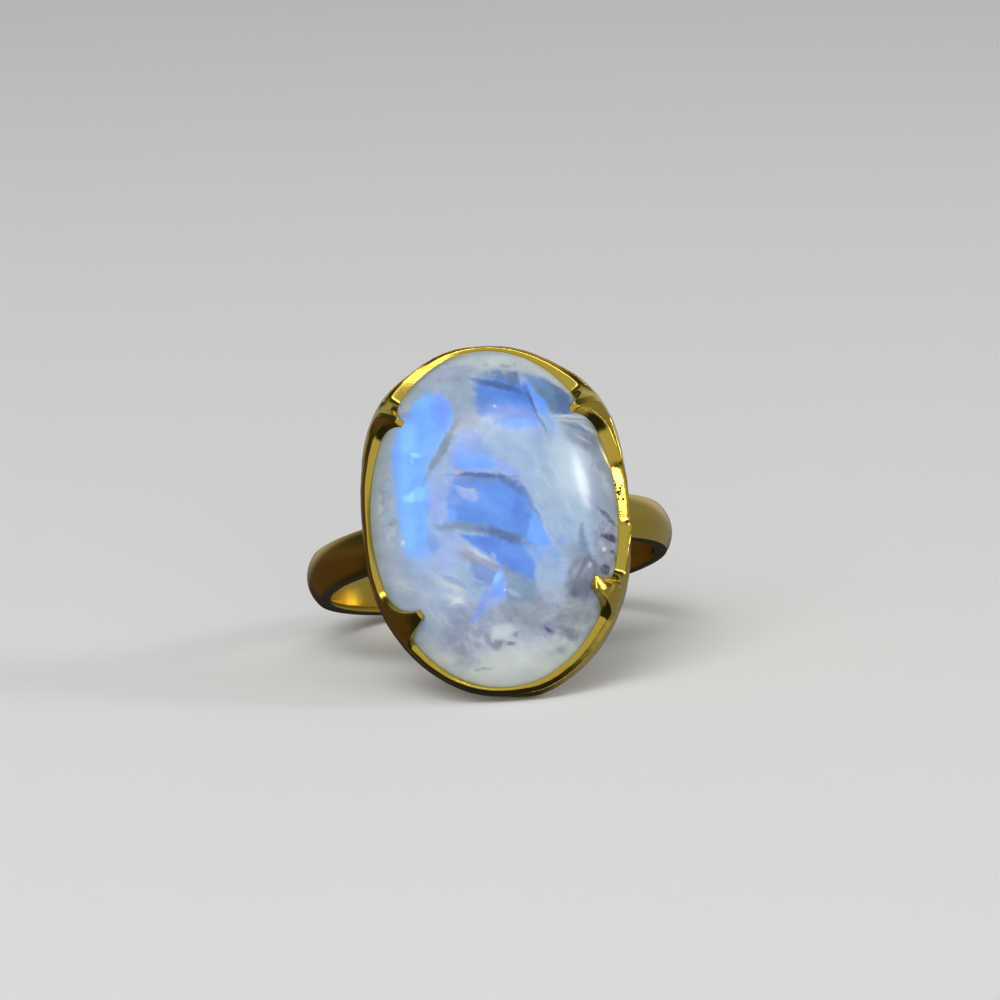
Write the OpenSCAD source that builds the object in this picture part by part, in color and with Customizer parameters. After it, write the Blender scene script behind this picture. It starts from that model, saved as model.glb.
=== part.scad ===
// Ring with one oval cabochon in a scalloped cup with four claws, lying on its side.
// Millimetres, +Z up. The origin is the centre of the finger hole.
// The ring is built with the finger's axis along Z and the stone facing -Y, then leaned back.

/* [Band] */
// Radius of the finger hole
finger_r = 8.95; // [7.5:0.05:9.1]
// Width of the band along the finger
band_w = 2.4; // [1.8:0.1:4]
// Thickness of the band at the middle of its width
band_t = 1.15; // [0.9:0.05:1.15]
// Thickness of the band at its two edges
band_edge_t = 0.7; // [0.3:0.05:0.8]

/* [Stone] */
// Width of the stone, its short way
stone_w = 13; // [11:0.1:14]
// Length of the stone, its long way
stone_l = 18; // [15:0.1:20]
// Height of the dome above the stone's widest line
dome_h = 3.8; // [3:0.1:4.6]
// Height of the straight side under the widest line
side_h = 0.5; // [0.4:0.05:0.5]

/* [Cup] */
// Distance from the finger's axis to the stone's widest line
head_r = 10.7; // [10.7:0.1:12]
// Turn of the head against the band, seen from the front
head_turn = -4.4; // [-8:0.1:8]
// Play between the stone and the metal
play = 0.04; // [0.03:0.01:0.06]
// Thickness of the cup's closed back
back_t = 0.65; // [0.6:0.05:0.9]
// Climb of the rim up the dome, degrees of the dome's section
rim_climb = 7.5; // [6:0.5:10]
// Thickness of a claw at its tip
tip_t = 0.34; // [0.3:0.02:0.5]
// Blunt part of a claw's tip, as a share of the claw's half width
tip_blunt = 0.13; // [0.1:0.01:0.25]
// Hollowness of the scallops, 1 for straight flanks
scallop = 2; // [1.5:0.1:2.6]

/* [Rest] */
// Lean of the ring on its side, from the finger's axis being upright
lean = 22.3; // [0:0.1:45]
// Roll about the way the stone faces
rest_roll = -5.4; // [-8:0.1:8]

/* [Hidden] */
half_w = stone_w / 2;
half_l = stone_l / 2;
floor_v = -side_h - play;
back_v = floor_v - back_t;
// The lowest line of a wall profile on the dome, degrees
wall_foot = 3;
// Steps of a wall profile up the dome
climb_steps = 5;
// Degrees between the lines of the stone's surface, both ways
stone_step = 4;
// Angles round the oval start at the right and run up over the top.
// Rim: angle, width of the rim's top face, how far the wall swells out below it
rim_rows = [
  [0, 0.50, -0.06],
  [15, 0.50, 0.18],
  [30, 0.58, 0.51],
  [45, 0.50, 0.55],
  [60, 0.33, 0.28],
  [75, 0.24, 0.16],
  [90, 0.20, 0.07],
  [105, 0.30, 0.14],
  [120, 0.36, 0.21],
  [135, 0.48, 0.43],
  [150, 0.38, 0.45],
  [165, 0.36, 0.18],
  [180, 0.25, 0.14],
  [195, 0.36, 0.12],
  [210, 0.40, 0.13],
  [225, 0.35, 0.10],
  [240, 0.32, 0.04],
  [255, 0.26, 0.04],
  [270, 0.20, 0.09],
  [285, 0.25, 0.33],
  [300, 0.28, 0.39],
  [315, 0.30, 0.47],
  [330, 0.50, 0.31],
  [345, 0.50, 0.15]
];
// Claw: angle of its root, climb of its tip up the dome, shift of the tip round the oval,
// half width before the root, half width after it
claw_rows = [
  [38, 29, 3, 12, 9],
  [142, 29, -1, 9, 9],
  [217, 33, 5, 15, 9],
  [330, 32, -1, 9, 10]
];

// A cell of the rim table at any angle, eased between rows
function rim_cell(a, col) =
  let (
    n = len(rim_rows),
    step = 360 / n,
    i = floor(a / step) % n,
    s = a / step - floor(a / step),
    e = s * s * (3 - 2 * s)
  )
  rim_rows[i][col] * (1 - e) + rim_rows[(i + 1) % n][col] * e;

// Signed way round the oval from b to a, within half a turn
function turn(a, b) = ((a - b + 540) % 360) - 180;

// Share of its full height that a claw has at an angle, 0 outside it
function claw_share(row, a) =
  let (
    d = turn(a, row[0]),
    u = d < 0 ? -d / row[3] : d / row[4],
    f = (u - tip_blunt) / (1 - tip_blunt)
  )
  u >= 1 ? 0 : f <= 0 ? 1 : pow(1 - f, scallop);

// Climb of the wall's edge up the dome, and shift of that edge round the oval
function edge_climb(a) =
  rim_climb + max([for (row = claw_rows) (row[1] - rim_climb) * claw_share(row, a)]);
function edge_shift(a) =
  let (s = [for (row = claw_rows) row[2] * claw_share(row, a)]) s[0] + s[1] + s[2] + s[3];
function edge_share(a) = max([for (row = claw_rows) claw_share(row, a)]);

// A point out from the stone's widest line by s, at height v
function beside(a, s, v) =
  let (n = [cos(a) / half_w, sin(a) / half_l], m = norm(n))
  [half_w * cos(a) + s * n.x / m, half_l * sin(a) + s * n.y / m, v];

// A point off the dome by s, at climb c
function over(a, c, s) =
  let (
    p = [half_w * cos(a) * cos(c), half_l * sin(a) * cos(c), dome_h * sin(c)],
    n = [p.x / pow(half_w, 2), p.y / pow(half_l, 2), p.z / pow(dome_h, 2)]
  )
  p + n * s / norm(n);

// The wall's profile at one angle: up the outside, over the edge, down the inside
function wall_profile(a) =
  let (
    face = rim_cell(a, 1),
    swell = play + face + rim_cell(a, 2),
    share = edge_share(a),
    top = edge_climb(a),
    shift = edge_shift(a)
  )
  concat(
    [beside(a, swell - 0.75, back_v)],
    [beside(a, swell - 0.28, back_v + 0.12)],
    [beside(a, swell - 0.02, floor_v)],
    [beside(a, swell, -0.15)],
    [for (i = [0:climb_steps])
      let (
        k = i / climb_steps,
        c = wall_foot + (top - wall_foot) * k,
        t = face + (tip_t - face) * k * share,
        out = rim_cell(a, 2) * pow(1 - k, 2) * 0.6
      )
      over(a + shift * k, c, play + (i == climb_steps ? t * 0.9 : t) + out)],
    [for (i = [climb_steps:-1:0])
      let (k = i / climb_steps)
      over(a + shift * k, wall_foot + (top - wall_foot) * k, play)],
    [beside(a, play, floor_v)]
  );

// The stone's profile at one angle: up the side, then up the dome
function stone_profile(a) =
  concat(
    [beside(a, 0, -side_h)],
    [for (c = [0:stone_step:84]) over(a, c, 0)]
  );

// Stations round the oval, close together at the claws
claw_reach = [for (row = claw_rows) [row[0], row[3] + 1, row[4] + 1]];
function by_claw(a) =
  max([for (r = claw_reach) let (d = turn(a, r[0])) (d > -r[1] && d < r[2]) ? 1 : 0]);
stations = [for (a = [0:359]) if (by_claw(a) == 1 || a % 4 == 0) a];

// A closed skin through rings of points, with a middle point at each end
module skin(rings, first, last) {
  n = len(rings[0]);
  m = len(rings);
  pts = concat([for (r = rings) each r], [first, last]);
  faces = concat(
    [for (j = [0:m - 1], i = [0:n - 2])
      let (a = j * n + i, b = ((j + 1) % m) * n + i)
      each [[a, a + 1, b], [b, a + 1, b + 1]]],
    [for (j = [0:m - 1]) [m * n, j * n, ((j + 1) % m) * n]],
    [for (j = [0:m - 1]) [m * n + 1, ((j + 1) % m) * n + n - 1, j * n + n - 1]]
  );
  polyhedron(pts, faces);
}

// From the ring's upright frame to how it lies
module lying() {
  rotate([-lean, 0, 0])
    rotate([0, rest_roll, 0])
      children();
}

// From the head's frame, with the dome along +Z, to the ring's upright frame
module on_band() {
  rotate([90, 0, 0])
    rotate([0, 0, head_turn])
      translate([0, 0, head_r])
        children();
}

module band() {
  crown = band_t - band_edge_t;
  arc_r = (pow(band_w / 2, 2) + pow(crown, 2)) / (2 * crown);
  half_arc = asin(band_w / 2 / arc_r);
  centre_x = finger_r + band_t - arc_r;
  rotate_extrude($fn = 180)
    polygon(concat(
      [[finger_r, -band_w / 2]],
      [for (i = [-5:5]) [centre_x + arc_r * cos(half_arc * i / 5), arc_r * sin(half_arc * i / 5)]],
      [[finger_r, band_w / 2]]
    ));
}

module cup() {
  skin([for (a = stations) wall_profile(a)], [0, 0, back_v], [0, 0, floor_v]);
}

module mount() {
  color([0.83, 0.66, 0.22])
    lying()
      union() {
        band();
        on_band() cup();
      }
}

module moonstone() {
  color([0.72, 0.8, 0.93])
    lying()
      on_band()
        skin([for (a = [0:stone_step:359]) stone_profile(a)], [0, 0, -side_h], [0, 0, dome_h]);
}

mount();
moonstone();
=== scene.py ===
"""Looks for a ring with one oval moonstone cabochon in a scalloped cup, lying on its side.

Sizes are in millimetres until a mesh is made; Blender objects are in metres, in the frame of the CAD.
The head's frame has x to the right and y up the stone's length, as seen from the front, and v out of
the band. Angles are in degrees, and those round the oval start at the right and run up over the top.
"""

import math
from collections import namedtuple

import bpy
import numpy as np
from mathutils import Matrix, Vector


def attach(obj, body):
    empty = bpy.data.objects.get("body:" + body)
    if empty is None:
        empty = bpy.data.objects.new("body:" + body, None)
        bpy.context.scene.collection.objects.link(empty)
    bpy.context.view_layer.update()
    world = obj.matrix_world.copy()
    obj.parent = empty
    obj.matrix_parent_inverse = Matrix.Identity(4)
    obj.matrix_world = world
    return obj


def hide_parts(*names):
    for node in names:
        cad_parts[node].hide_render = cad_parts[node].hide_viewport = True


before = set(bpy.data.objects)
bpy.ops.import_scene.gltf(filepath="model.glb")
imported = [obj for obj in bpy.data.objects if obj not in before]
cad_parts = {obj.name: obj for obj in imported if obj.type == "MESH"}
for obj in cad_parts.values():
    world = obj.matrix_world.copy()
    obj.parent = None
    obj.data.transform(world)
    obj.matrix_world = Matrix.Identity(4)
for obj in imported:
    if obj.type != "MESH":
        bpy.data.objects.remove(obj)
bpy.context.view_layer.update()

MM = 0.001

# Sizes, as in the CAD source
FINGER_R = 8.95
BAND_W, BAND_T, BAND_EDGE_T = 2.4, 1.15, 0.7
HALF_W, HALF_L = 6.5, 9.0
DOME_H, SIDE_H = 3.8, 0.5
HEAD_R, HEAD_TURN = 10.7, -4.4
CAD_PLAY, BACK_T = 0.04, 0.65
RIM_CLIMB, WALL_FOOT = 7.5, 3.0
SCALLOP = 2.0
LEAN, REST_ROLL = 22.3, -5.4
FLOOR_V = -SIDE_H - CAD_PLAY
BACK_V = FLOOR_V - BACK_T

# The metal is burnished down on the stone, so the play between them isn't seen
PLAY = 0.005

# Every 15 degrees round the oval: width of the rim's top face, swell of the wall, and how far that
# face leans outwards
RIM = np.array([
    (0.54, 0.06, 36), (0.52, 0.26, 33), (0.58, 0.50, 3), (0.50, 0.55, 10), (0.33, 0.28, 12), (0.24, 0.16, 14),
    (0.20, 0.07, 14), (0.30, 0.14, 26), (0.36, 0.21, 30), (0.48, 0.43, 16), (0.38, 0.45, 6), (0.36, 0.18, 2),
    (0.25, 0.14, -12), (0.36, 0.12, 0), (0.40, 0.13, 8), (0.35, 0.10, 6), (0.32, 0.04, 2), (0.26, 0.04, 0),
    (0.20, 0.09, 6), (0.25, 0.33, 12), (0.28, 0.39, 16), (0.30, 0.47, 14), (0.50, 0.31, 10), (0.52, 0.18, 12),
])
FACE, SWELL, FACE_LEAN = 0, 1, 2

# Small wobbles of the rim's line and of its face's width: waves a turn, height, phase
LINE_RIPPLE = ((7, 0.2, 20), (17, 0.12, 80), (31, 0.06, 200))
FACE_RIPPLE = ((13, 0.02, 10), (37, 0.012, 60), (71, 0.008, 100))

# Angle of a claw's root, climb of its tip, shift of the tip round the oval, half width before the root and
# after it, lean of the tip, blunt share of the tip, thickness of the tip
Claw = namedtuple("Claw", "root climb shift before after lean blunt tip_t")
CLAWS = (
    Claw(38, 29, 3, 12, 9, 35, 0.13, 0.34),
    Claw(142, 29, -1, 9, 9, 35, 0.13, 0.34),
    Claw(217, 33, 5, 15, 9, 5, 0.16, 0.34),
    Claw(330, 32, -1, 9, 10, 20, 0.28, 0.55),
)

# A flat cut on the last claw's tip: the climb where it starts, its depth, its turn to the side
CUT_FROM, CUT_DEPTH, CUT_TURN = 20, 0.28, 33

# A flat filed on the rim at the right: its middle, half length and lean
FACET_AT, FACET_HALF, FACET_LEAN = 5.5, 9.5, 42

# Rounding of the rim's outer and inner corners, of the band's inner edges and of the stone's lower edge
OUTER_R, INNER_R, BAND_EDGE_R, STONE_EDGE_R = 0.1, 0.02, 0.12, 0.08

# The outer corner is rounded by no more than this share of the metal's thickness there
OUTER_SHARE = 0.4

# Frames
LYING = Matrix.Rotation(math.radians(-LEAN), 3, "X") @ Matrix.Rotation(math.radians(REST_ROLL), 3, "Y")
ON_BAND = Matrix.Rotation(math.radians(90), 3, "X") @ Matrix.Rotation(math.radians(HEAD_TURN), 3, "Z")
HEAD = LYING @ ON_BAND
LYING_A, HEAD_A = np.array(LYING), np.array(HEAD)


def placed(points, head=False):
    """Points of the ring's or the head's frame, in millimetres, as the ring lies, in metres."""
    p = np.asarray(points, float)
    if head:
        return (p + (0, 0, HEAD_R)) @ HEAD_A.T * MM
    return p @ LYING_A.T * MM


# Camera: its place against the ring's upright frame, the place it looks at just over the stone's widest
# line, and the photograph's frame in pixels
CAM_DIST, CAM_PITCH, CAM_YAW, CAM_ROLL = 200.0, 10.46, 2.94, 8.76
AIM = Vector((0, -HEAD_R - 0.3, 0))
PX_PER_MM, CENTRE_X, CENTRE_Y, IMAGE = 19.2, 494.3, 518.42, 1000
SENSOR = 36.0


def make_camera():
    pitch, yaw, roll = (math.radians(a) for a in (CAM_PITCH, CAM_YAW, CAM_ROLL))
    back = Vector((-math.sin(yaw) * math.cos(pitch), -math.cos(yaw) * math.cos(pitch), -math.sin(pitch)))
    up = Vector((0, 0, 1))
    up = (up - up.dot(back) * back).normalized()
    right = up.cross(back)
    cam_up = up * math.cos(roll) + right * math.sin(roll)
    cam_right = right * math.cos(roll) - up * math.sin(roll)
    turned = LYING @ Matrix((cam_right, cam_up, back)).transposed()
    data = bpy.data.cameras.new("camera")
    camera = bpy.data.objects.new("camera", data)
    bpy.context.scene.collection.objects.link(camera)
    camera.matrix_world = Matrix.Translation((LYING @ AIM + LYING @ back * CAM_DIST) * MM) @ turned.to_4x4()
    data.sensor_width = SENSOR
    data.lens = PX_PER_MM * CAM_DIST * SENSOR / IMAGE
    data.shift_x = (IMAGE / 2 - CENTRE_X) / IMAGE
    data.shift_y = (CENTRE_Y - IMAGE / 2) / IMAGE
    data.clip_start, data.clip_end = 0.01, 20
    bpy.context.scene.camera = camera


# Meshes: an edge that turns by more than so many degrees stays sharp
METAL_SHARP, STONE_SHARP = 40, 50


def mesh_object(name, points, faces, sharp=METAL_SHARP):
    mesh = bpy.data.meshes.new(name)
    mesh.from_pydata([tuple(p) for p in points], [], [tuple(int(i) for i in f) for f in faces])
    mesh.validate()
    obj = bpy.data.objects.new(name, mesh)
    bpy.context.scene.collection.objects.link(obj)
    shade(obj, sharp)
    return obj


def shade(obj, sharp):
    obj.data.polygons.foreach_set("use_smooth", [True] * len(obj.data.polygons))
    obj.data.set_sharp_from_angle(angle=math.radians(sharp))


def face_outwards(mesh):
    """Turns a closed mesh's faces outwards, if its volume says that they look in."""
    mesh.calc_loop_triangles()
    co = np.array([v.co for v in mesh.vertices])
    tri = np.array([t.vertices for t in mesh.loop_triangles])
    a, b, c = (co[tri[:, k]] for k in range(3))
    if np.einsum("ij,ij->i", a, np.cross(b, c)).sum() < 0:
        mesh.flip_normals()


def net_of_quads(m, n, closed):
    """Faces between m rings of n points each, ring j joined to ring j + 1 and the last to the first."""
    j, i = np.meshgrid(np.arange(m), np.arange(n if closed else n - 1), indexing="ij")
    after = (j + 1) % m
    beyond = (i + 1) % n
    return np.stack([(j * n + i).ravel(), (j * n + beyond).ravel(), (after * n + beyond).ravel(),
                     (after * n + i).ravel()], 1).tolist()


def closed_skin(rings, first, last):
    """A closed skin through rings (stations, profile points, xyz) with a pole at each end."""
    m, n, _ = rings.shape
    faces = net_of_quads(m, n, closed=False)
    for s in range(m):
        t = (s + 1) % m
        faces.append((m * n, s * n, t * n))
        faces.append((m * n + 1, t * n + n - 1, s * n + n - 1))
    return np.vstack([rings.reshape(-1, 3), [first, last]]), faces


def spline(p, s):
    """The place at share s between the middle two of four points, on a smooth curve through them."""
    a, b, c, d = p
    return 0.5 * (2 * b + (c - a) * s + (2 * a - 5 * b + 4 * c - d) * s**2 + (3 * b - a - 3 * c + d) * s**3)


def through(points, steps):
    """A smooth line through control points (stations, controls, xyz), with steps to each stretch."""
    before, after = 2 * points[:, :1] - points[:, 1:2], 2 * points[:, -1:] - points[:, -2:-1]
    p = np.concatenate([before, points, after], 1)
    out = []
    for i in range(points.shape[1] - 1):
        out += [spline([p[:, i + k] for k in range(4)], s) for s in np.arange(steps) / steps]
    out.append(points[:, -1])
    return np.stack(out, 1)


def turn(a, b):
    """The signed way round the oval from b to a, within half a turn."""
    return (a - b + 540) % 360 - 180


def rim_cell(a, col):
    """A column of the rim table at angles a, on a smooth closed curve through its rows."""
    n = len(RIM)
    u = a % 360 / (360 / n)
    i = np.floor(u).astype(int)
    return spline([RIM[(i + k) % n, col] for k in (-1, 0, 1, 2)], u - i)


def ripple(a, rows):
    """A small closed wobble round the oval."""
    return sum(h * np.sin(np.radians(n * a + ph)) for n, h, ph in rows)


def claw_shares(a):
    """For each claw, its share of full height at angles a."""
    shares = []
    for claw in CLAWS:
        d = turn(a, claw.root)
        f = (np.abs(np.where(d < 0, d / claw.before, d / claw.after)) - claw.blunt) / (1 - claw.blunt)
        shares.append(np.where(f >= 1, 0, np.where(f <= 0, 1, np.clip(1 - f, 0, 1) ** SCALLOP)))
    return np.array(shares)


def claw_column(name):
    """One of the claws' sizes, as a column against the stations."""
    return np.array([getattr(claw, name) for claw in CLAWS])[:, None]


def beside(a, s, v):
    """Points out from the stone's widest line by s, at height v."""
    ca, sa = np.cos(np.radians(a)), np.sin(np.radians(a))
    nx, ny = ca / HALF_W, sa / HALF_L
    m = np.hypot(nx, ny)
    return np.stack([HALF_W * ca + s * nx / m, HALF_L * sa + s * ny / m, v + 0 * a], -1)


def over(a, c, s):
    """Points off the dome by s, at climb c."""
    a, c = np.radians(a), np.radians(c)
    p = np.stack([HALF_W * np.cos(a) * np.cos(c), HALF_L * np.sin(a) * np.cos(c),
                  DOME_H * np.sin(c) + 0 * a], -1)
    n = p / (HALF_W**2, HALF_L**2, DOME_H**2)
    return p + n / np.linalg.norm(n, axis=-1, keepdims=True) * np.asarray(s)[..., None]


def corner(at, way_in, way_out, size):
    """A rounded corner in a section, from size short of it along one side to size along the other."""
    points = []
    for k in (0, 0.25, 0.5, 0.75, 1):
        points.append(tuple(c + size * ((1 - k) ** 2 * i + k**2 * o) for c, i, o in zip(at, way_in, way_out)))
    return points


# Degrees between stations at a claw and away from it, and how far from its root a claw counts
FINE, COARSE, CLAW_REACH = 0.2, 0.6, 9

# The share of a swell that is left where the wall starts to climb the dome
FLANK = 0.72

# How much a steep stretch of the edge may stretch its section
STEEPEST = 2.5

# How far to each side of its claw's root the flat cut goes on turning
CUT_REACH = 0.5

# The cup's outside under the dome: way in from the wall's widest place, and height. Above it the wall
# starts to turn in, by a share of the swell it loses.
UNDER = (0.75, BACK_V), (0.28, BACK_V + 0.12), (0.02, FLOOR_V), (0, -0.35)
SHOULDER, SHOULDER_V = 0.3, -0.1

# Places up the wall on its outside and down its inside, and steps between two places of the outside
OUTSIDE, INSIDE, WALL_STEPS = np.linspace(0, 1, 6), (0.7, 0.4, 0), 4


def cup_stations():
    """Angles round the oval, close together at the claws."""
    fine = [np.arange(c.root - c.before - 1, c.root + c.after + 1, FINE) for c in CLAWS]
    coarse = np.arange(0, 360, COARSE)
    near = np.min([np.abs(turn(coarse, c.root)) for c in CLAWS], 0) < CLAW_REACH
    return np.unique(np.round(np.concatenate([coarse[~near]] + fine) % 360, 2))


class CupEdge:
    """The cup's top edge at angles a: its line on the dome, and a flat frame at each of its places."""

    def __init__(self, a):
        self.a = a
        self.shares = claw_shares(a)
        self.share = self.shares.max(0)
        rim = RIM_CLIMB + ripple(a, LINE_RIPPLE)
        self.top = rim + ((claw_column("climb") - rim) * self.shares).max(0)
        self.shift = (claw_column("shift") * self.shares).sum(0)
        self.face = rim_cell(a, FACE) * (1 + ripple(a, FACE_RIPPLE))

        # Millimetres to a degree of climb and to a degree round the oval
        dome_r = np.hypot(HALF_W * np.cos(np.radians(a)), HALF_L * np.sin(np.radians(a)))
        along_dome = np.hypot(dome_r * np.sin(np.radians(self.top)), DOME_H * np.cos(np.radians(self.top)))
        self.per_climb = np.radians(along_dome)
        self.per_turn = np.radians(dome_r * np.cos(np.radians(self.top)))
        slope = np.gradient(self.top, a) * self.per_climb / self.per_turn
        self.steep = np.minimum(np.hypot(1, slope), STEEPEST)

        self.here = over(a + self.shift, self.top, 0 * a)
        self.way_off = over(a + self.shift, self.top, 1 + 0 * a) - self.here
        way_up = over(a + self.shift, self.top + 0.01, 0 * a) - self.here
        self.way_up = way_up / np.linalg.norm(way_up, axis=-1, keepdims=True)

    def at(self, up, off):
        """Points up the dome and off it from the edge."""
        return self.here + self.way_up * (up * self.steep)[:, None] + self.way_off * (PLAY + off)[:, None]

    def thickness(self, climb, k):
        """The wall's thickness at a climb that is share k of the way to the edge."""
        whole = self.face * (1 - self.share * k) + (claw_column("tip_t") * self.shares).sum(0) * k
        last = CLAWS[-1]
        past_root = np.clip(turn(self.a, last.root) * self.per_turn, -CUT_REACH, CUT_REACH)
        cut = (CUT_DEPTH + math.tan(math.radians(CUT_TURN)) * past_root) * (self.shares[-1] > 0)
        return whole - cut * np.clip((climb - CUT_FROM) / (last.climb - CUT_FROM), 0, 1)

    def lean(self):
        """How far the edge's top face leans outwards, in radians."""
        filed = np.clip((FACET_HALF - np.abs(turn(self.a, FACET_AT))) / 2 + 0.5, 0, 1)
        lean = rim_cell(self.a, FACE_LEAN) * (1 - filed) + FACET_LEAN * filed
        return np.radians(lean * (1 - self.share) + (claw_column("lean") * self.shares).sum(0))

    def section(self, swell):
        """The edge's section as ways up and off: the outer corner, the leaning face, the inner corner."""
        end_t, lean = self.thickness(self.top, 1), self.lean()
        drop = -np.tan(lean) * end_t
        flank = np.arctan2(FLANK * swell, (self.top - WALL_FOOT) * self.per_climb + drop)
        outer = corner((drop, end_t), (-np.cos(flank), np.sin(flank)), (np.sin(lean), -np.cos(lean)),
                       np.minimum(OUTER_R, OUTER_SHARE * end_t))
        flat = 0 * self.a
        inner = corner((flat, flat), (-np.sin(lean), np.cos(lean)), (flat - 1, flat), INNER_R)
        face = [tuple(o * (1 - k) + i * k for o, i in zip(outer[-1], inner[0])) for k in (0.25, 0.5, 0.75)]
        return outer + face + inner, end_t


def cup_skin():
    """The cup's skin, each station's profile going up the outside, over the edge and down the inside."""
    a = cup_stations()
    edge = CupEdge(a)
    swell = rim_cell(a, SWELL)
    side = PLAY + edge.face + swell
    section, end_t = edge.section(swell)
    up, off = section[0]
    rise = edge.top - WALL_FOOT

    wall = [beside(a, side - way_in, height) for way_in, height in UNDER]
    wall.append(beside(a, side - swell * (1 - FLANK) * SHOULDER, SHOULDER_V))
    reach = 1 + up * edge.steep / edge.per_climb / rise
    climb = []
    for k in OUTSIDE:
        out = FLANK * swell * (1 - k) + (off - end_t) * k
        height = WALL_FOOT + rise * k * reach
        climb.append(over(a + edge.shift * k * reach, height, PLAY + edge.thickness(height, k) + out))
    gap = edge.at(up, off) - climb[-1]
    wall += [c + gap * k**2 for c, k in zip(climb, OUTSIDE)]

    rows = [through(np.stack(wall, 1), WALL_STEPS)]
    rows += [edge.at(*place)[:, None] for place in section[1:]]
    for k in INSIDE:
        rows.append(over(a + edge.shift * k, WALL_FOOT + rise * k, PLAY + 0 * a)[:, None])
    rows.append(beside(a, PLAY + 0 * a, FLOOR_V)[:, None])
    points, faces = closed_skin(np.concatenate(rows, 1), (0, 0, BACK_V), (0, 0, FLOOR_V))
    return placed(points, head=True), faces


# Points across the band's domed outside and its flat inside, and steps round it
BAND_OUT, BAND_IN, BAND_STEPS = 25, 9, 720

# Where the band's side starts under the crown's edge, and the middle of its rounded edge as a share of it
SIDE_START, EDGE_MIDDLE = 0.05, 0.3


def band_skin():
    """The band's section swept round: the domed outside, one side, the flat inside, the other side."""
    crown = BAND_T - BAND_EDGE_T
    arc_r = ((BAND_W / 2) ** 2 + crown**2) / (2 * crown)
    half_arc = math.asin(BAND_W / 2 / arc_r)
    centre = FINGER_R + BAND_T - arc_r
    angles = half_arc * np.linspace(-1, 1, BAND_OUT)
    outside = [(centre + arc_r * math.cos(t), arc_r * math.sin(t)) for t in angles]
    r, z, size = FINGER_R, BAND_W / 2, BAND_EDGE_R
    middle = size * EDGE_MIDDLE
    side = [(r + BAND_EDGE_T - SIDE_START, z), (r + size, z), (r + middle, z - middle)]
    inside = [(r, height) for height in np.linspace(z - size, size - z, BAND_IN)]
    profile = outside + side + inside + [(out, -height) for out, height in reversed(side)]
    r, z = np.array(profile).T
    m = BAND_STEPS
    th = np.radians(np.arange(m) * 360 / m)
    rings = np.stack([np.outer(np.cos(th), r), np.outer(np.sin(th), r), np.outer(np.ones(m), z)], -1)
    return placed(rings.reshape(-1, 3)), net_of_quads(m, len(r), closed=True)


def joined(base, other):
    """base with other added to it as one solid."""
    mod = base.modifiers.new("join", "BOOLEAN")
    mod.operation, mod.solver, mod.object = "UNION", "MANIFOLD", other
    graph = bpy.context.evaluated_depsgraph_get()
    mesh = bpy.data.meshes.new_from_object(base.evaluated_get(graph))
    base.modifiers.clear()
    mesh.materials.clear()
    base.data = mesh
    bpy.data.objects.remove(other)


def make_metal():
    ring = mesh_object("ring_metal", *cup_skin())
    band = mesh_object("ring_band", *band_skin())
    face_outwards(ring.data)
    face_outwards(band.data)
    joined(ring, band)
    shade(ring, METAL_SHARP)
    return ring


# Quads of the dome's net along each way
NET = 150

# The stone's side under its widest line: share of that line's size, and height. At the foot it is drawn
# in by the edge's rounding, as a share of a radius of 6 mm.
STONE_SIDE = (1, -0.2), (1, STONE_EDGE_R - SIDE_H), (1 - STONE_EDGE_R / 6, -SIDE_H)


def make_stone():
    """The dome as an even net of quads with no pole, then the straight side and the flat bottom."""
    u = np.linspace(-1, 1, NET + 1)
    x, y = np.meshgrid(u, u, indexing="ij")
    dx, dy = x * np.sqrt(1 - y**2 / 2), y * np.sqrt(1 - x**2 / 2)
    r = np.minimum(np.hypot(dx, dy), 1)
    edge = np.maximum(np.abs(x), np.abs(y)) >= 1 - 1e-9
    dx, dy = (np.where(r > 0, d / np.maximum(r, 1e-9) * np.sin(r * math.pi / 2), 0) for d in (dx, dy))
    v = DOME_H * np.where(edge, 0, np.cos(r * math.pi / 2))
    dome = np.stack([HALF_W * dx, HALF_L * dy, v], -1).reshape(-1, 3)
    ids = np.arange((NET + 1) ** 2).reshape(NET + 1, NET + 1)
    quads = np.stack([ids[:-1, :-1], ids[1:, :-1], ids[1:, 1:], ids[:-1, 1:]], -1)
    faces = quads.reshape(-1, 4).tolist()
    loop = np.concatenate([ids[:-1, 0], ids[-1, :-1], ids[:0:-1, -1], ids[0, :0:-1]])
    points, m = [dome], len(loop)
    above, count = loop, len(dome)
    for share, height in STONE_SIDE:
        p = dome[loop].copy()
        p[:, :2] *= share
        p[:, 2] = height
        ring = np.arange(count, count + m)
        faces += [(above[k], ring[k], ring[(k + 1) % m], above[(k + 1) % m]) for k in range(m)]
        points.append(p)
        above, count = ring, count + m
    points.append([(0, 0, -SIDE_H)])
    faces += [(above[k], count, above[(k + 1) % m]) for k in range(m)]
    stone = mesh_object("moonstone_cabochon", placed(np.vstack(points), head=True), faces, STONE_SHARP)
    face_outwards(stone.data)
    return stone


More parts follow.
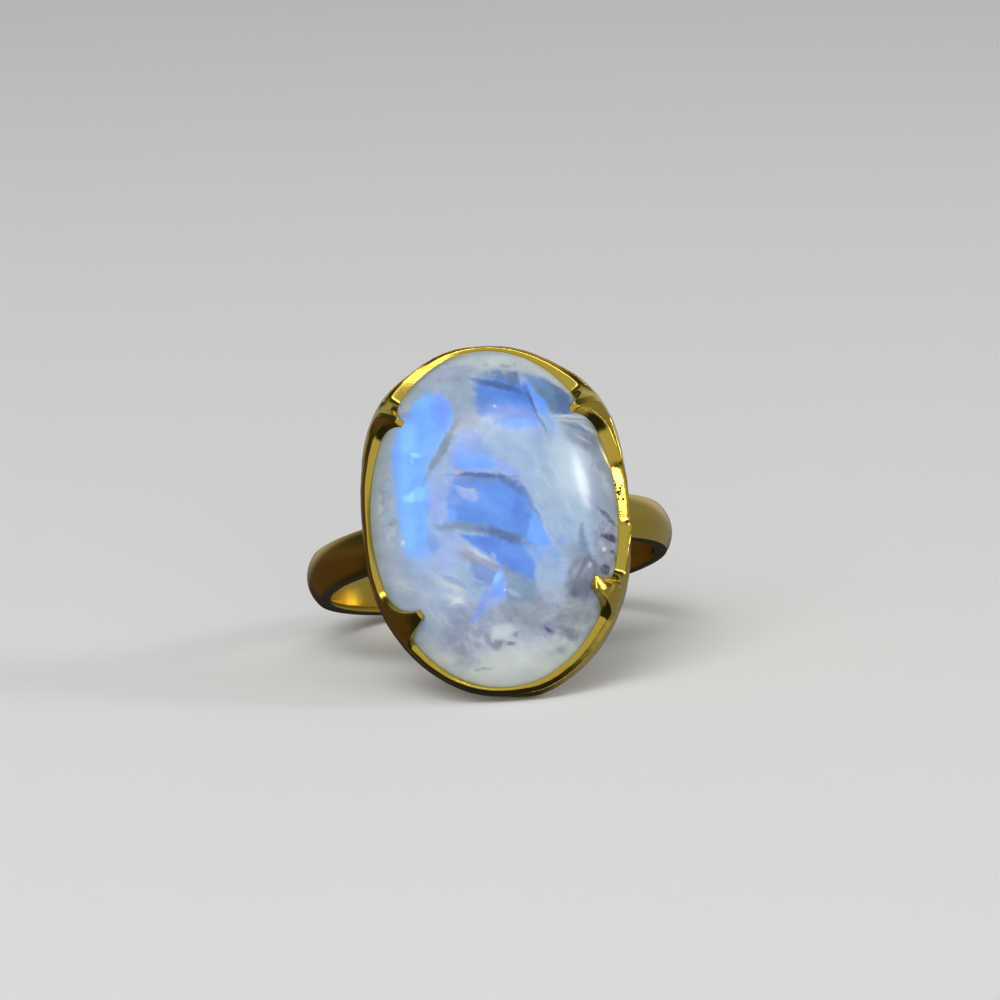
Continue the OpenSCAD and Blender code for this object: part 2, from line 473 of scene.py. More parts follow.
# Materials
class Tree:
    """Short ways to add nodes to a material or a world."""

    def __init__(self, owner):
        owner.use_nodes = True
        self.owner = owner
        self.tree = owner.node_tree

    def put(self, value, socket):
        if isinstance(value, bpy.types.NodeSocket):
            self.tree.links.new(value, socket)
        else:
            socket.default_value = value

    def node(self, kind, inputs=(), out=0, **settings):
        n = self.tree.nodes.new("ShaderNode" + kind)
        for key, value in settings.items():
            setattr(n, key, value)
        for key, value in dict(inputs).items():
            self.put(value, n.inputs[key])
        return n.outputs[out]

    def math(self, operation, a, b=0.0, c=0.0):
        return self.node("Math", {0: a, 1: b, 2: c}, operation=operation)

    def vector(self, operation, a, b=(0, 0, 0), scale=None):
        inputs = {0: a, 1: b} if scale is None else {0: a, "Scale": scale}
        out = "Value" if operation in ("LENGTH", "DOT_PRODUCT") else "Vector"
        return self.node("VectorMath", inputs, out, operation=operation)

    def ramp(self, value, low, high, to_low=0.0, to_high=1.0):
        """A smooth step from one value to another."""
        ends = {"From Min": low, "From Max": high, "To Min": to_low, "To Max": to_high}
        return self.node("MapRange", {"Value": value, **ends}, interpolation_type="SMOOTHSTEP")

    def mix(self, share, a, b, blend="MIX"):
        """Two colours mixed. Sockets 6 and 7 are the node's colours, and output 2 their mix."""
        return self.node("Mix", {0: share, 6: a, 7: b}, out=2, data_type="RGBA", blend_type=blend)

    def noise(self, vector, scale, detail=2.0, rough=0.5, colour=False):
        inputs = {"Vector": vector, "Scale": scale, "Detail": detail, "Roughness": rough}
        return self.node("TexNoise", inputs, "Color" if colour else "Fac")

    def set(self, **values):
        """Sets or links the shader's own sockets, by their names with _ for a space."""
        for key, value in values.items():
            self.put(value, self.tree.nodes["Principled BSDF"].inputs[key.replace("_", " ")])


def new_material(name):
    return Tree(bpy.data.materials.new(name))


def srgb(r, g, b):
    """A colour written as 0 to 255 screen values, as the linear values that the shader wants."""
    def one(c):
        c /= 255
        return c / 12.92 if c <= 0.04045 else ((c + 0.055) / 1.055) ** 2.4
    return (one(r), one(g), one(b), 1.0)


# Gold: two tints that cloud into each other, and small dark pits at one place of the rim
GOLD_TINTS = (0.72, 0.51, 0.075, 1), (0.68, 0.53, 0.1, 1)
PIT_TINT = (0.005, 0.004, 0.002, 1)
PIT_ROUGHNESS = 0.8

# The place of the pits: angle round the oval, and way off the dome
PITTED_AT, PITTED_OFF = 7.0, 0.15

# The gold's roughness, from its smoothest to its roughest place, and its bumps: strength, height in metres
POLISH = 0.07, 0.17
BUMP_STRENGTH, BUMP_HEIGHT = 0.25, 0.00002


def gold_material():
    t = new_material("polished_gold")
    mm = t.vector("SCALE", t.node("TexCoord", out="Object"), scale=1 / MM)
    cloudy, fine = t.noise(mm, 0.6, 3), t.noise(mm, 9, 4, 0.6)
    streak = t.noise(t.vector("MULTIPLY", mm, (1.5, 1.5, 22)), 1.4, 3, 0.65)
    colour = t.mix(t.ramp(cloudy, 0.35, 0.65), *GOLD_TINTS)

    pitted = placed(over(np.array([PITTED_AT]), RIM_CLIMB, PITTED_OFF), head=True)[0] / MM
    away = t.vector("LENGTH", t.vector("MULTIPLY", t.vector("SUBTRACT", mm, pitted), (1, 1, 0.6)))
    pits = t.ramp(t.math("SUBTRACT", t.noise(mm, 6, 3, 0.7), t.ramp(away, 0.1, 0.9, 0, 0.3)), 0.45, 0.5)
    polish = t.ramp(fine, 0.3, 0.75, *POLISH)
    t.set(Base_Color=t.mix(pits, colour, PIT_TINT), Metallic=1.0)
    t.set(Roughness=t.math("MAXIMUM", polish, t.math("MULTIPLY", pits, PIT_ROUGHNESS)))
    height = t.math("ADD", streak, t.math("MULTIPLY", fine, 0.6))
    t.set(Normal=t.node("Bump", {"Strength": BUMP_STRENGTH, "Distance": BUMP_HEIGHT, "Height": height}))
    return t.owner


# Moonstone: its colours by name, as they look on a screen. The tint for small glints is painted highlight.
TINTS = {
    "base": (150, 171, 204), "rim": (160, 172, 176), "crescent": (192, 199, 195), "pale": (182, 194, 196),
    "flash": (117, 171, 255), "cyan": (134, 194, 255), "violet": (114, 150, 244), "painted_glint": (165, 220, 255),
    "blue": (88, 132, 210), "deep": (78, 120, 202), "sky": (104, 153, 238), "mid": (116, 150, 210),
    "slate": (92, 121, 158), "dusk": (96, 126, 184), "line": (74, 98, 148), "teal": (110, 135, 165),
    "milk": (141, 164, 196), "cloud": (151, 171, 194), "mist": (138, 162, 218), "lavender": (128, 144, 204),
    "grey": (136, 150, 166), "taupe": (118, 134, 148), "plum": (99, 105, 120), "ink": (70, 70, 104),
    "mauve": (132, 136, 160), "pink": (170, 164, 184), "white": (188, 196, 204), "fog": (157, 171, 192),
    "bright": (190, 208, 218), "ash": (134, 142, 150), "iris": (118, 144, 216),
}

# What is charted in the stone, in the head's frame, each row over the ones before it.
# "oval": middle, half length, half width, turn. "shard": the corners of a convex patch.
# "vein": the two ends of a thin oval, and its half width.
# "grain" and "wisps": ovals that are filled with spots, or with streaks along them.
# Then come the tint, the strength and the softness of the edge.
CHART = (
    # The milky ground
    ("oval", (-2.2, 7.2, 3.2, 1.1, 22), "fog", 0.7, 0.6),
    ("oval", (-1.2, 5.3, 1.0, 2.2, 0), "grey", 0.7, 0.6),
    ("oval", (-4.2, -4.0, 1.9, 1.8, 0), "fog", 0.7, 0.6),
    ("oval", (0.8, 3.2, 1.6, 1.0, -10), "milk", 0.7, 0.6),
    ("oval", (2.6, 2.3, 1.9, 1.7, 0), "milk", 0.9, 0.5),
    ("oval", (3.6, 1.2, 1.5, 2.4, 0), "cloud", 0.9, 0.6),
    # Milky cloud that is also a painted glow round the reflection of the tall light at the right
    ("oval", (4.2, 1.6, 0.9, 2.3, 8), "bright", 0.6, 0.7),
    ("oval", (3.4, -1.6, 1.2, 1.8, 0), "milk", 0.8, 0.6),
    ("oval", (4.6, -0.6, 0.7, 1.4, 0), "cloud", 0.7, 0.5),
    ("oval", (5.6, 1.0, 0.7, 3.4, 0), "grey", 0.6, 0.6),
    ("oval", (4.9, 4.0, 1.1, 0.9, -20), "grey", 0.9, 0.4),
    ("oval", (5.2, 3.4, 0.5, 0.6, 0), "plum", 0.4, 0.6),
    ("oval", (-3.0, -2.0, 1.0, 1.5, 0), "mist", 0.6, 0.6),
    ("oval", (-2.0, -6.4, 1.0, 1.3, 0), "mauve", 0.8, 0.6),
    ("oval", (-3.2, -5.8, 1.0, 0.9, 0), "grey", 0.5, 0.6),
    ("oval", (1.6, -5.5, 3.0, 1.1, 0), "ash", 0.8, 0.6),
    ("oval", (4.0, -5.2, 1.2, 1.3, 0), "ash", 0.8, 0.6),
    ("oval", (-2.6, 1.2, 0.9, 1.5, 0), "mist", 0.9, 0.5),
    ("oval", (-1.2, 2.9, 1.0, 1.0, 0), "mid", 0.9, 0.5),
    ("oval", (-1.15, 3.6, 0.6, 0.5, 0), "lavender", 0.7, 0.6),
    ("oval", (-1.6, 3.0, 0.5, 0.4, 30), "violet", 0.5, 0.6),
    ("wisps", (-1.0, 5.6, 1.6, 0.7, 70), "fog", 0.6, 0.5),
    ("wisps", (-3.6, -3.6, 2.2, 1.3, -20), "pale", 0.7, 0.5),
    ("wisps", (2.6, -6.8, 3.0, 1.6, 10), "white", 0.4, 0.5),
    ("wisps", (-2.0, -5.4, 2.4, 1.6, -60), "white", 0.5, 0.5),
    ("wisps", (3.2, 1.0, 2.6, 1.6, -65), "bright", 0.4, 0.5),
    ("wisps", (5.3, 2.6, 2.2, 0.7, -75), "white", 0.6, 0.5),
    ("wisps", (-5.6, 0.0, 3.6, 0.4, 88), "white", 0.6, 0.5),
    ("grain", (-5.5, 0.4, 0.5, 1.6, 0), "grey", 0.7, 0.5),
    # The flash down the left
    ("shard", ((-5.0, 3.9), (-4.4, 5.0), (-3.7, 6.1), (-3.1, 6.5), (-2.5, 6.3), (-2.0, 5.6), (-2.0, 4.4),
               (-2.5, 3.6), (-3.2, 2.6), (-5.1, 2.6)), "flash", 1, 0.26),
    ("shard", ((-5.05, 3.2), (-3.1, 3.2), (-3.35, 1.0), (-3.3, -0.6), (-3.6, -1.5), (-4.6, -1.6),
               (-4.85, -0.8), (-5.05, 1.0)), "flash", 1, 0.24),
    ("oval", (-4.1, -1.7, 0.6, 1.1, 0), "flash", 0.7, 0.6),
    ("oval", (-2.4, 5.2, 0.45, 0.9, 0), "violet", 0.9, 0.6),
    ("oval", (-4.3, 4.2, 0.5, 0.9, 0), "cyan", 0.9, 0.6),
    ("oval", (-4.6, 2.2, 0.3, 1.3, 0), "cyan", 0.7, 0.7),
    ("oval", (-3.4, 5.9, 0.5, 0.4, 30), "cyan", 0.6, 0.7),
    ("oval", (-4.5, -0.6, 0.35, 1.2, 0), "cyan", 0.6, 0.7),
    ("shard", ((-4.45, 1.05), (-4.0, 1.5), (-3.5, 1.35), (-3.55, 0.65), (-4.2, 0.6)), "cyan", 0.8, 0.12),
    # A painted glint, a small highlight laid into the stone's colour at the left end of the cyan streak
    ("shard", ((-4.65, 1.0), (-4.25, 1.3), (-4.05, 1.15), (-4.1, 0.7), (-4.3, 0.55)), "painted_glint", 0.55, 0.12),
    ("oval", (-4.75, 3.5, 0.2, 1.4, -4), "violet", 0.3, 0.7),
    ("oval", (-3.4, -1.5, 0.3, 0.5, 20), "mid", 0.7, 0.5),
    ("oval", (-3.55, 0.5, 0.2, 0.5, 0), "violet", 0.5, 0.6),
    ("vein", (-3.1, 0.95, -3.05, -0.8, 0.22), "mist", 0.95, 0.5),
    # Painted glints: small highlights laid into the colour, two as short veins and one as a dot
    ("vein", (-4.2, 3.2, -3.7, 3.0, 0.13), "painted_glint", 0.7, 0.6),
    ("vein", (-4.2, 3.0, -4.05, 2.7, 0.09), "painted_glint", 0.5, 0.6),
    ("oval", (-4.85, -1.35, 0.11, 0.11, 0), "painted_glint", 0.9, 0.6),
    ("oval", (-4.35, 5.9, 0.35, 0.35, 0), "white", 0.6, 0.6),
    ("oval", (-4.3, 5.3, 0.4, 0.3, 0), "mist", 0.6, 0.6),
    ("oval", (-4.6, -2.6, 1.4, 0.4, 0), "fog", 0.5, 0.6),
    # The dark line beside it, with a pale strip on its right
    ("vein", (-1.9, 3.4, -2.9, 1.4, 0.34), "milk", 0.8, 0.4),
    ("vein", (-1.7, 4.6, -3.4, 1.9, 0.22), "taupe", 0.9, 0.5),
    # The blue at the top
    ("shard", ((-0.6, 6.9), (0.8, 7.1), (2.2, 6.6), (2.5, 5.2), (2.4, 4.3), (0.7, 4.2), (-0.5, 5.0)),
     "blue", 1, 0.25),
    ("oval", (-0.35, 5.7, 0.4, 0.8, 0), "dusk", 0.5, 0.6),
    ("oval", (0.2, 4.7, 0.7, 0.3, 10), "fog", 0.4, 0.6),
    ("oval", (0.35, 5.35, 0.35, 0.25, 0), "lavender", 0.5, 0.6),
    ("oval", (0.35, 5.4, 0.07, 0.07, 0), "bright", 0.6, 0.6),
    ("oval", (1.6, 6.0, 0.8, 0.45, -15), "deep", 0.6, 0.6),
    ("oval", (1.5, 5.1, 0.9, 0.25, -8), "lavender", 0.4, 0.6),
    ("oval", (1.5, 4.35, 0.9, 0.28, 3), "sky", 0.8, 0.6),
    ("oval", (2.1, 3.95, 0.5, 0.2, 3), "mist", 0.7, 0.6),
    ("oval", (2.25, 4.7, 0.15, 0.3, 0), "iris", 0.7, 0.6),
    ("vein", (-0.6, 7.0, 1.8, 6.1, 0.2), "line", 0.9, 0.5),
    ("vein", (-0.2, 7.15, 0.5, 6.9, 0.12), "mist", 0.6, 0.5),
    ("oval", (0.8, 7.15, 0.9, 0.35, 0), "slate", 0.7, 0.5),
    ("shard", ((1.05, 7.35), (1.68, 7.4), (1.68, 6.5), (1.1, 6.6)), "slate", 0.9, 0.12),
    ("shard", ((2.0, 7.2), (3.3, 7.0), (4.2, 6.5), (4.5, 5.9), (4.3, 4.9), (3.4, 4.8), (2.7, 5.8)),
     "slate", 0.95, 0.22),
    ("oval", (2.6, 6.8, 0.7, 0.4, -10), "mid", 0.4, 0.6),
    ("oval", (3.9, 5.6, 0.5, 0.8, 10), "line", 0.6, 0.6),
    ("oval", (3.3, 5.6, 0.3, 0.9, 10), "teal", 0.5, 0.6),
    ("shard", ((1.55, 7.1), (1.9, 7.0), (2.5, 6.3), (3.1, 5.5), (3.3, 4.3), (3.15, 3.4), (2.9, 3.6),
               (2.5, 4.8), (2.3, 5.7)), "sky", 1, 0.16),
    ("oval", (3.0, 4.1, 0.25, 0.9, -4), "milk", 0.8, 0.6),
    ("vein", (1.75, 7.4, 1.8, 6.4, 0.1), "milk", 0.7, 0.5),
    ("vein", (2.1, 6.3, 2.5, 4.9, 0.11), "line", 0.9, 0.5),
    ("vein", (2.35, 5.3, 2.9, 3.8, 0.08), "dusk", 0.7, 0.5),
    ("oval", (1.4, 8.0, 2.6, 0.5, -4), "pale", 0.9, 0.4),
    ("oval", (3.4, 7.25, 1.6, 0.34, -38), "pale", 0.9, 0.4),
    ("grain", (0.6, 7.9, 2.8, 0.7, 0), "white", 0.9, 0.4),
    ("grain", (0.2, 7.6, 2.2, 0.5, 0), "taupe", 0.5, 0.5),
    ("oval", (1.1, 7.7, 0.3, 0.12, 0), "taupe", 0.5, 0.5),
    ("vein", (3.4, 4.75, 5.3, 4.85, 0.1), "white", 0.8, 0.5),
    ("vein", (3.6, 4.5, 5.2, 4.55, 0.08), "pale", 0.6, 0.5),
    ("vein", (4.6, 4.45, 5.8, 3.9, 0.09), "white", 0.7, 0.5),
    ("vein", (4.1, 4.25, 5.2, 4.0, 0.12), "slate", 0.6, 0.6),
    ("vein", (4.5, 3.7, 5.3, 3.3, 0.1), "white", 0.4, 0.5),
    ("oval", (5.75, 2.1, 0.25, 0.4, 0), "taupe", 0.5, 0.6),
    # The middle: a bright strip, a dark line, the big blue patch, another dark line
    ("oval", (-0.9, 2.35, 1.2, 0.4, -10), "sky", 0.9, 0.5),
    ("vein", (0.1, 2.5, 1.2, 1.5, 0.24), "mist", 0.9, 0.5),
    ("shard", ((-2.1, 1.5), (-0.3, 1.7), (1.0, 1.3), (1.75, 0.5), (2.0, -0.5), (1.6, -1.9), (0.3, -1.5),
               (-1.0, -1.1), (-2.4, -0.7), (-2.55, 0.1)), "blue", 1, 0.22),
    ("oval", (-0.2, 0.3, 1.2, 0.5, -10), "sky", 0.35, 0.7),
    ("vein", (-2.2, 1.7, 0.6, 1.35, 0.3), "dusk", 0.8, 0.6),
    ("vein", (-2.0, 1.8, 0.8, 1.5, 0.13), "line", 0.9, 0.6),
    ("vein", (0.1, 1.65, 1.7, 0.4, 0.2), "line", 0.7, 0.6),
    ("vein", (1.4, 0.9, 2.2, -0.9, 0.14), "dusk", 0.9, 0.6),
    ("oval", (-1.9, 1.9, 0.2, 0.13, 0), "pink", 0.8, 0.6),
    ("oval", (1.2, -0.5, 0.4, 0.9, 0), "deep", 0.9, 0.6),
    ("shard", ((-2.1, 1.25), (-1.0, 0.9), (-0.75, 0.5), (-1.0, 0.3), (-1.6, 0.5)), "mist", 0.9, 0.12),
    ("vein", (-1.9, 1.2, -0.8, 0.75, 0.06), "pink", 0.6, 0.5),
    ("oval", (-2.2, 0.5, 0.5, 0.35, 0), "mid", 0.7, 0.6),
    ("oval", (-2.35, -0.3, 0.3, 0.35, 0), "sky", 0.9, 0.6),
    ("oval", (-2.7, 0.1, 0.25, 0.7, 0), "mist", 0.9, 0.6),
    ("shard", ((1.9, -0.4), (2.2, -0.9), (2.8, -2.2), (1.4, -2.1), (1.6, -1.3)), "sky", 1, 0.14),
    ("shard", ((-2.0, -1.3), (-0.2, -1.5), (1.4, -2.0), (1.9, -3.0), (1.7, -3.9), (0.7, -3.6), (-0.1, -3.0),
               (-1.1, -2.2)), "blue", 1, 0.16),
    ("oval", (-0.5, -1.8, 0.8, 0.25, -15), "deep", 0.7, 0.6),
    ("vein", (-3.0, -0.75, -0.3, -1.15, 0.24), "teal", 0.9, 0.6),
    ("vein", (-0.9, -1.1, 1.5, -2.0, 0.26), "line", 0.9, 0.6),
    ("shard", ((1.35, -2.15), (2.9, -2.3), (3.2, -3.1), (2.0, -3.2)), "mid", 0.9, 0.25),
    ("oval", (0.9, -3.0, 0.7, 0.45, 0), "deep", 0.6, 0.6),
    ("oval", (2.2, -2.6, 0.3, 0.12, -10), "sky", 0.5, 0.6),
    # Under the middle: pale streaks, slate, and the small bright point
    ("shard", ((-1.6, -2.3), (-0.3, -3.0), (0.1, -3.3), (-0.4, -4.1), (-1.4, -4.0)), "dusk", 0.8, 0.25),
    ("oval", (-1.5, -2.6, 0.6, 0.3, -25), "mauve", 0.7, 0.6),
    ("shard", ((0.1, -3.3), (1.7, -3.9), (2.0, -4.5), (1.8, -5.0), (0.2, -4.9)), "teal", 0.85, 0.25),
    ("shard", ((-2.5, -2.9), (-1.7, -3.0), (-1.0, -4.2), (-1.9, -4.1)), "milk", 0.8, 0.25),
    ("oval", (2.5, -3.6, 0.6, 1.0, 0), "milk", 0.95, 0.4),
    ("oval", (2.6, -4.6, 0.8, 0.6, 0), "fog", 0.8, 0.5),
    ("vein", (-2.0, -2.0, -0.3, -3.1, 0.18), "pink", 0.5, 0.8),
    ("vein", (-1.3, -2.2, -0.5, -2.9, 0.08), "bright", 0.5, 0.8),
    ("vein", (-0.7, -2.85, 0.8, -3.6, 0.12), "taupe", 0.8, 0.5),
    ("oval", (-0.35, -2.6, 0.14, 0.22, 30), "mist", 0.9, 0.5),
    ("shard", ((-0.05, -3.1), (0.15, -3.5), (0.2, -4.8), (-0.7, -4.5)), "violet", 0.95, 0.1),
    ("oval", (-0.15, -3.7, 0.16, 0.35, -30), "cyan", 0.7, 0.6),
    ("shard", ((-0.7, -4.0), (-0.4, -4.6), (-1.3, -5.8), (-1.8, -5.7)), "iris", 0.75, 0.2),
    ("oval", (-0.5, -4.9, 0.5, 0.2, 20), "mist", 0.7, 0.5),
    ("vein", (-3.1, -3.2, -1.8, -4.0, 0.14), "dusk", 0.45, 0.6),
    ("vein", (-1.5, -3.6, -0.9, -3.9, 0.07), "milk", 0.9, 0.5),
    ("oval", (0.6, -4.4, 0.4, 0.13, -30), "milk", 0.7, 0.5),
    ("oval", (0.15, -4.3, 0.07, 0.07, 0), "bright", 0.8, 0.5),
    ("oval", (-2.3, -4.6, 0.35, 0.12, 30), "white", 0.8, 0.6),
    ("oval", (-2.3, -4.6, 0.35, 0.1, -30), "bright", 0.6, 0.6),
    # Inclusions at the right and below
    ("oval", (2.75, -1.5, 0.15, 0.35, 30), "lavender", 0.5, 0.6),
    ("oval", (3.3, -1.85, 0.3, 0.3, 0), "lavender", 0.5, 0.6),
    ("shard", ((4.3, -1.0), (4.42, -1.0), (4.7, -2.6), (4.1, -2.6)), "teal", 0.8, 0.12),
    ("oval", (3.9, -2.6, 0.5, 0.5, 0), "grey", 0.7, 0.5),
    ("shard", ((3.9, -2.9), (4.6, -2.6), (5.4, -3.2), (5.2, -4.4), (4.2, -5.0), (3.4, -4.6), (3.55, -3.4)),
     "plum", 0.9, 0.25),
    ("oval", (3.75, -3.5, 0.22, 0.35, -20), "taupe", 0.6, 0.6),
    ("oval", (4.2, -3.1, 0.35, 0.3, 0), "ink", 0.25, 0.6),
    ("oval", (3.6, -4.3, 0.25, 0.35, 0), "ink", 0.2, 0.6),
    ("oval", (4.6, -3.4, 0.25, 0.4, 0), "mauve", 0.8, 0.6),
    ("oval", (4.6, -3.15, 0.1, 0.16, 0), "white", 0.6, 0.6),
    ("wisps", (4.2, -3.9, 1.0, 1.2, 60), "fog", 0.5, 0.5),
    ("oval", (5.5, -2.2, 0.6, 1.3, 0), "mauve", 0.7, 0.5),
    ("vein", (5.35, -0.25, 6.2, -0.95, 0.17), "ink", 0.75, 0.5),
    ("oval", (5.85, -1.7, 0.42, 0.2, 3), "ink", 1.0, 0.4),
    ("oval", (5.5, -3.3, 0.32, 0.26, 0), "ink", 0.9, 0.4),
    ("oval", (5.95, -2.35, 0.15, 0.12, 0), "ink", 0.7, 0.5),
    ("oval", (5.5, -2.3, 0.12, 0.1, 0), "bright", 0.9, 0.5),
    ("oval", (6.1, -2.6, 0.08, 0.25, 0), "ink", 0.6, 0.5),
    ("grain", (5.6, -1.9, 0.6, 1.4, 0), "pale", 0.45, 0.5),
    ("grain", (2.6, -5.9, 2.4, 1.3, 0), "plum", 0.3, 0.6),
    ("oval", (2.3, -6.3, 0.45, 0.35, 0), "mauve", 0.9, 0.5),
    ("vein", (2.1, -6.2, 2.5, -6.55, 0.1), "ink", 0.8, 0.6),
    ("oval", (3.3, -6.5, 0.45, 0.28, -20), "plum", 0.7, 0.6),
    ("oval", (2.85, -7.3, 0.35, 0.2, 10), "plum", 0.45, 0.8),
    ("oval", (-0.1, -6.4, 0.6, 0.35, 10), "white", 0.8, 0.6),
    ("oval", (-0.4, -7.0, 0.35, 0.25, 0), "plum", 0.7, 0.6),
    ("vein", (-0.1, -6.9, 0.5, -7.05, 0.1), "ink", 0.7, 0.6),
    ("oval", (0.5, -6.6, 0.25, 0.13, 15), "plum", 0.45, 0.8),
    ("oval", (-0.9, -6.6, 0.25, 0.3, 0), "mauve", 0.8, 0.6),
    ("vein", (-1.7, -8.1, -0.7, -8.1, 0.09), "taupe", 0.4, 0.6),
    ("grain", (0.3, -7.0, 2.6, 0.7, 0), "pale", 0.6, 0.4),
)

# How ragged the charted edges are, against their softness, and how round a shard's corners are
RAGGED = 1.5
SHARD_ROUND = 0.12

# The bends of the chart by noise: scale, detail and strength in millimetres
BENDS = (0.9, 2, 0.4), (3.0, 3, 0.2)

# Soft clouding and streaks over the whole stone: strength, and the way the streaks run
CLOUDING, STREAKING, STREAK_TURN = 0.3, 0.2, -28
STONE_ROUGHNESS, STONE_IOR = 0.19, 1.53


def past_shard(t, at, corners):
    """How far a place is past the edge of a convex patch, below 0 inside it.

    at is (x, y, 1), so one product with a line's numbers is the way past that line.
    """
    middle = np.mean(corners, 0)
    past = None
    for (x0, y0), (x1, y1) in zip(corners, corners[1:] + corners[:1]):
        n = np.array([y1 - y0, x0 - x1]) / math.hypot(x1 - x0, y1 - y0)
        if n @ (middle - (x0, y0)) > 0:
            n = -n
        line = t.vector("DOT_PRODUCT", at, (n[0], n[1], -n @ (x0, y0)))
        past = line if past is None else t.math("SMOOTH_MAX", past, line, SHARD_ROUND)
    return past


def oval_reach(t, at, x, y, half_l, half_w, oval_turn):
    """How far out in an oval a place is, 1 at its edge. at is (x, y, 1), as for a shard."""
    c, s = math.cos(math.radians(oval_turn)), math.sin(math.radians(oval_turn))
    along = t.vector("DOT_PRODUCT", at, (c / half_l, s / half_l, -(x * c + y * s) / half_l))
    across = t.vector("DOT_PRODUCT", at, (-s / half_w, c / half_w, (x * s - y * c) / half_w))
    return t.math("SQRT", t.math("MULTIPLY_ADD", across, across, t.math("MULTIPLY", along, along)))


def vein_oval(x0, y0, x1, y1, half_w):
    """The thin oval that a vein is."""
    half_l = math.hypot(x1 - x0, y1 - y0) / 2
    return (x0 + x1) / 2, (y0 + y1) / 2, half_l, half_w, math.degrees(math.atan2(y1 - y0, x1 - x0))


def streaks(t, flat, streak_turn):
    """Noise that is drawn out along one way."""
    c, s = math.cos(math.radians(streak_turn)), math.sin(math.radians(streak_turn))
    along, across = t.vector("DOT_PRODUCT", flat, (c, s, 0)), t.vector("DOT_PRODUCT", flat, (-s, c, 0))
    return t.noise(t.node("CombineXYZ", {0: t.math("MULTIPLY", along, 0.4), 1: across}), 1.3, 3, 0.55)


def bent_place(t, flat):
    """The flat place in the head's frame, bent a little by noise, as (x, y, 1)."""
    bends = []
    for scale, detail, strength in BENDS:
        bend = t.vector("SUBTRACT", t.noise(flat, scale, detail, colour=True), (0.5, 0.5, 0.5))
        bends.append(t.vector("SCALE", bend, scale=strength))
    bent = t.vector("ADD", flat, t.vector("ADD", *bends))
    return t.vector("ADD", t.vector("MULTIPLY", bent, (1, 1, 0)), (0, 0, 1))


def ground_colour(t, at):
    """The stone's colour under the chart: one tint that turns greyer at the rim and paler low down."""
    reach = oval_reach(t, at, 0, 0, HALF_W, HALF_L, 0)
    colour = t.mix(t.ramp(reach, 0.72, 1.0), srgb(*TINTS["base"]), srgb(*TINTS["rim"]))
    lower = t.ramp(t.node("SeparateXYZ", {0: at}, out="Y"), -5.5, -8.2)
    return t.mix(lower, colour, srgb(*TINTS["crescent"]))


def charted(t, colour, flat, at):
    """The chart's rows laid over a colour, each with an edge that noise makes ragged."""
    rag = t.math("SUBTRACT", t.noise(flat, 2.0, 4, 0.55), 0.5)
    spots = t.noise(flat, 2.2, 3, 0.55)
    for kind, place, tint, strength, soft in CHART:
        if kind == "shard":
            past, outside, inside = past_shard(t, at, place), soft, -soft
        else:
            place = vein_oval(*place) if kind == "vein" else place
            past, outside, inside = oval_reach(t, at, *place), 1 + soft, 1 - soft
        past = t.math("MULTIPLY_ADD", rag, RAGGED * soft, past)
        mask = t.ramp(past, outside, inside, 0, strength)
        if kind == "grain":
            mask = t.math("MULTIPLY", mask, t.ramp(spots, 0.46, 0.66))
        elif kind == "wisps":
            mask = t.math("MULTIPLY", mask, t.ramp(streaks(t, flat, place[4]), 0.47, 0.68))
        colour = t.mix(mask, colour, srgb(*TINTS[tint]))
    return colour


def stone_material():
    t = new_material("rainbow_moonstone")
    in_ring = t.node("TexCoord", out="Object")
    back = HEAD.transposed().to_euler()
    in_head = t.node("Mapping", {"Vector": in_ring, "Rotation": back, "Scale": (1 / MM,) * 3})
    flat = t.vector("MULTIPLY", in_head, (1, 1, 0))
    at = bent_place(t, flat)
    colour = charted(t, ground_colour(t, at), flat, at)
    cloudy = t.ramp(t.noise(flat, 1.0, 4, 0.6), 0.25, 0.75, 0.3, 0.7)
    streaky = t.ramp(streaks(t, flat, STREAK_TURN), 0.3, 0.7, 0.3, 0.7)
    colour = t.mix(CLOUDING, colour, cloudy, "SOFT_LIGHT")
    colour = t.mix(STREAKING, colour, streaky, "SOFT_LIGHT")
    t.set(Base_Color=colour, Roughness=STONE_ROUGHNESS, IOR=STONE_IOR)
    return t.owner


# Stage: the floor's height in millimetres, half its size in metres, its two tints
GROUND = -4.862
FLOOR_HALF = 4.0
FLOOR_TINTS = (0.80, 0.80, 0.79, 1), (0.84, 0.835, 0.82, 1)

# Two broad lamps that the metal doesn't mirror: name, power and place. Both look at the same place.
LAMPS = ("key", 2.9, (-0.25, -0.5, 0.6)), ("fill", 2.5, (0.05, -0.7, 0.06))
LAMP_SIZE, LAMP_AIM = 0.5, (0, -0.008, 0.003)

# Soft lights of the studio: the way they lie as degrees right of the front and above level, half width,
# half height and softness in degrees, brightness in red, green and blue
BOXES = (
    (0, 36, 48, 34, 24, (0.5, 0.5, 0.5)),
    (8, 62, 22, 6, 5, (3.0, 3.0, 3.0)),
    (112, -8, 48, 44, 24, (0.23, 0.23, 0.23)),
    (62, -12, 16, 10, 8, (0.35, 0.35, 0.35)),
    (75, 27, 5, 7, 7, (12.0, 12.0, 12.0)),
    (-118, -12, 36, 28, 14, (0.06, 0.028, 0.014)),
    (180, 30, 34, 40, 24, (0.35, 0.35, 0.35)),
)

# Brightness of the rest of the world, above and below level, and of what the camera sees behind the floor
AMBIENT, GROUND_LIGHT, BACKDROP = 0.05, 0.025, 0.8


def make_floor():
    t = new_material("pale_floor")
    at = t.node("TexCoord", out="Object")
    t.set(Base_Color=t.mix(t.noise(at, 4, 3), *FLOOR_TINTS), Roughness=0.9)
    s, z = FLOOR_HALF, GROUND * MM
    floor = mesh_object("floor", [(-s, -s, z), (s, -s, z), (s, s, z), (-s, s, z)], [(0, 1, 2, 3)])
    floor.data.materials.append(t.owner)
    floor.visible_glossy = False


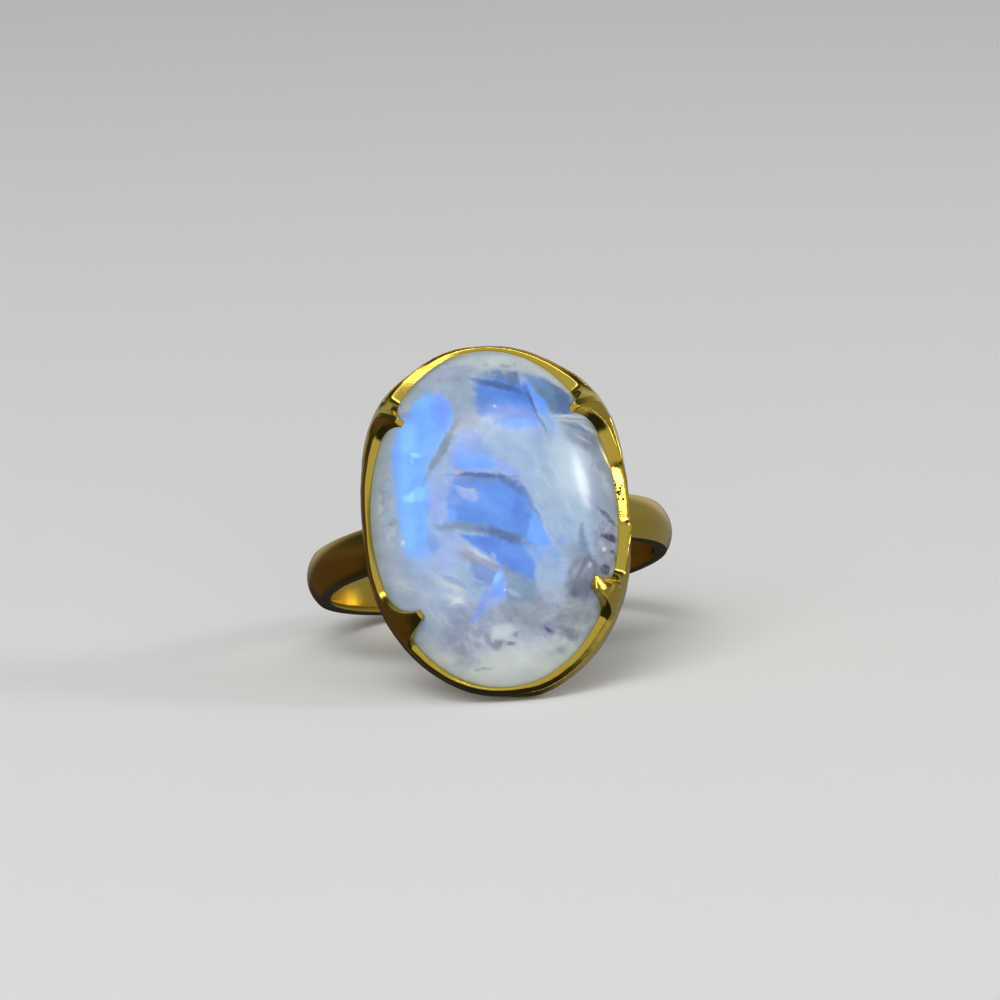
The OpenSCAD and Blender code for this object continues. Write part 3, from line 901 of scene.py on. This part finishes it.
def make_lamp(name, power, at):
    data = bpy.data.lights.new(name, "AREA")
    data.energy, data.size = power, LAMP_SIZE
    lamp = bpy.data.objects.new(name, data)
    lamp.location = at
    lamp.rotation_euler = (Vector(LAMP_AIM) - Vector(at)).to_track_quat("-Z", "Y").to_euler()
    lamp.visible_glossy = False
    bpy.context.scene.collection.objects.link(lamp)


def soft_box(t, way, az, el, half_w, half_h, soft):
    """How much of a soft light there is along a way, 1 inside it and 0 outside."""
    a, e = math.radians(az), math.radians(el)
    middle = Vector((math.sin(a) * math.cos(e), -math.cos(a) * math.cos(e), math.sin(e)))
    side = Vector((math.cos(a), math.sin(a), 0))
    masks = []
    for axis, half in ((side, half_w), (side.cross(middle), half_h)):
        sideways, ahead = t.vector("DOT_PRODUCT", way, axis), t.vector("DOT_PRODUCT", way, middle)
        off = t.math("ABSOLUTE", t.math("ARCTAN2", sideways, ahead))
        masks.append(t.ramp(off, math.radians(half + soft / 2), math.radians(half - soft / 2)))
    return t.math("MULTIPLY", *masks)


def make_world():
    world = bpy.data.worlds.new("studio")
    bpy.context.scene.world = world
    t = Tree(world)
    way = t.node("TexCoord", out="Generated")
    up = t.node("SeparateXYZ", {0: way}, out="Z")
    light = t.ramp(up, -0.15, 0.1, GROUND_LIGHT, AMBIENT)
    for *box, power in BOXES:
        light = t.vector("ADD", light, t.vector("MULTIPLY", soft_box(t, way, *box), power))
    seen = t.node("LightPath", out="Is Camera Ray")
    t.put(t.mix(seen, light, (BACKDROP,) * 3 + (1,)), t.tree.nodes["Background"].inputs["Color"])


make_camera()
make_floor()
make_world()
for lamp in LAMPS:
    make_lamp(*lamp)
bpy.context.scene.view_settings.view_transform = "Standard"

metal, stone = make_metal(), make_stone()
for piece, node, slot, material in ((metal, "mount", "gold", gold_material()),
                                    (stone, "moonstone", "moonstone", stone_material())):
    piece.data.materials.append(material)
    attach(piece, "root")
    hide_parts(node)
    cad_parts[node].data.materials.clear()
    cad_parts[node].data.materials.append(material)
